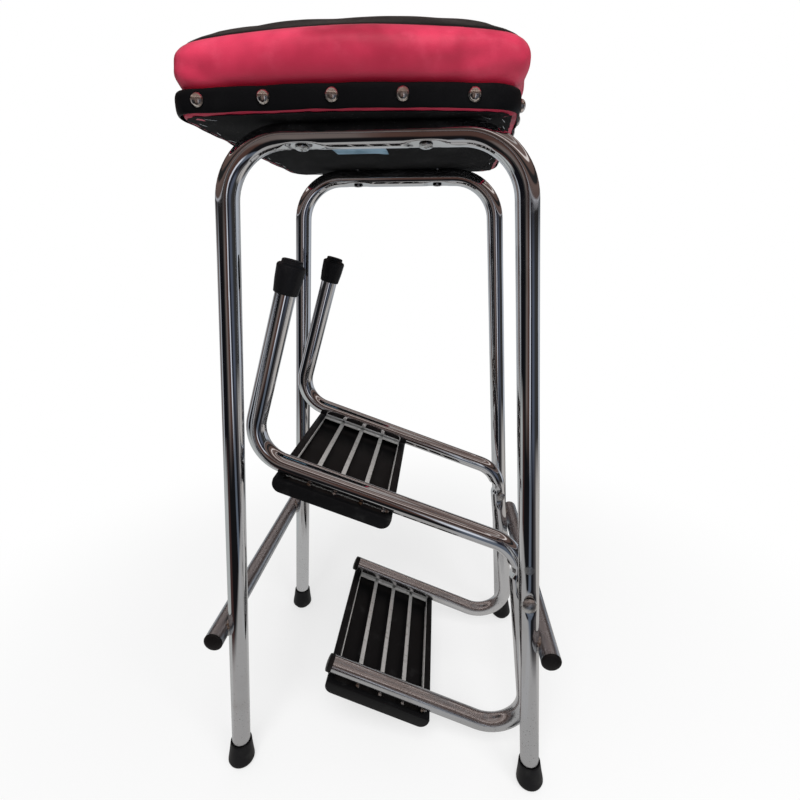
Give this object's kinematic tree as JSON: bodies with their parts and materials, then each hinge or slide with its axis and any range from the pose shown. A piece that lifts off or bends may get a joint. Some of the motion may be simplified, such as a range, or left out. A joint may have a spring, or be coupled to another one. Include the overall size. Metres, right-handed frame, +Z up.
{
  "type": "folding step stool chair",
  "caption": "Tall padded stool on two bent tube hoops, with a two-tread step frame that hangs stowed between its legs and swings out to the right to stand on the floor.",
  "frame": {"origin": "on the floor, in the middle between the four feet", "axes": "+X to the side on which the steps swing out, +Y from the near hoop to the far hoop, +Z up"},
  "size_m": [0.397, 0.3405, 0.8215],
  "materials": {
    "chromed_tube": "bright chrome plate",
    "zinc_tube": "duller smudged plate",
    "foot_rubber": "black, satin",
    "plug_plastic": "black, satin",
    "rivet_steel": "bright plated steel",
    "grid_steel": "light grey plate, a little dull",
    "tread_plastic": "black moulded, matt",
    "nail_nickel": "polished nickel, slightly hammered",
    "crimson_vinyl": "soft vinyl with a satin gloss",
    "black_vinyl": "smooth vinyl with a satin gloss",
    "plywood": "bare plywood, hidden",
    "foam": "open foam, hidden",
    "black_cloth": "thin woven dust cloth"
  },
  "bodies": {
    "stool_frame": {"near_hoop": "chromed_tube", "far_hoop": "chromed_tube", "left_cross_tube": "zinc_tube", "right_cross_tube": "zinc_tube", "foot_near_left": "foot_rubber", "foot_near_right": "foot_rubber", "foot_far_left": "foot_rubber", "foot_far_right": "foot_rubber", "cross_plug_near_left": "plug_plastic", "cross_plug_near_right": "plug_plastic", "cross_plug_far_left": "plug_plastic", "cross_plug_far_right": "plug_plastic", "pivot_rivet_near": "rivet_steel", "pivot_rivet_far": "rivet_steel", "pivot_bush_near": "rivet_steel", "pivot_bush_far": "rivet_steel", "seat_screw_near_left": "rivet_steel", "seat_screw_near_right": "rivet_steel", "seat_screw_far_left": "rivet_steel", "seat_screw_far_right": "rivet_steel", "seat_nail_01": "nail_nickel", "seat_nail_02": "nail_nickel", "seat_nail_03": "nail_nickel", "seat_nail_04": "nail_nickel", "seat_nail_05": "nail_nickel", "seat_nail_06": "nail_nickel", "seat_nail_07": "nail_nickel", "seat_nail_08": "nail_nickel", "seat_nail_09": "nail_nickel", "seat_nail_10": "nail_nickel", "seat_nail_11": "nail_nickel", "seat_nail_12": "nail_nickel", "seat_nail_13": "nail_nickel", "seat_nail_14": "nail_nickel", "seat_nail_15": "nail_nickel", "seat_nail_16": "nail_nickel", "seat_nail_17": "nail_nickel", "seat_nail_18": "nail_nickel", "seat_nail_19": "nail_nickel", "seat_nail_20": "nail_nickel", "seat_nail_21": "nail_nickel", "seat_side_cover": "crimson_vinyl", "seat_top_cover": "black_vinyl", "seat_band": "black_vinyl", "seat_board": "plywood", "seat_foam": "foam", "seat_dust_cover": "black_cloth"},
    "step_frame": {"near_step_tube": "chromed_tube", "far_step_tube": "chromed_tube", "tip_foot_near": "foot_rubber", "tip_foot_far": "foot_rubber", "step_plug_near": "plug_plastic", "step_plug_far": "plug_plastic", "upper_tread_grid": "grid_steel", "upper_tread_pad": "tread_plastic", "lower_tread_grid": "grid_steel", "lower_tread_pad": "tread_plastic"}
  },
  "joints": [
    {"name": "step_swing", "type": "hinge", "parent": "stool_frame", "child": "step_frame", "pos_m": [0.16254, 0, 0.26], "axis": [0, 1, 0], "range_deg": [0, 161]}
  ]
}
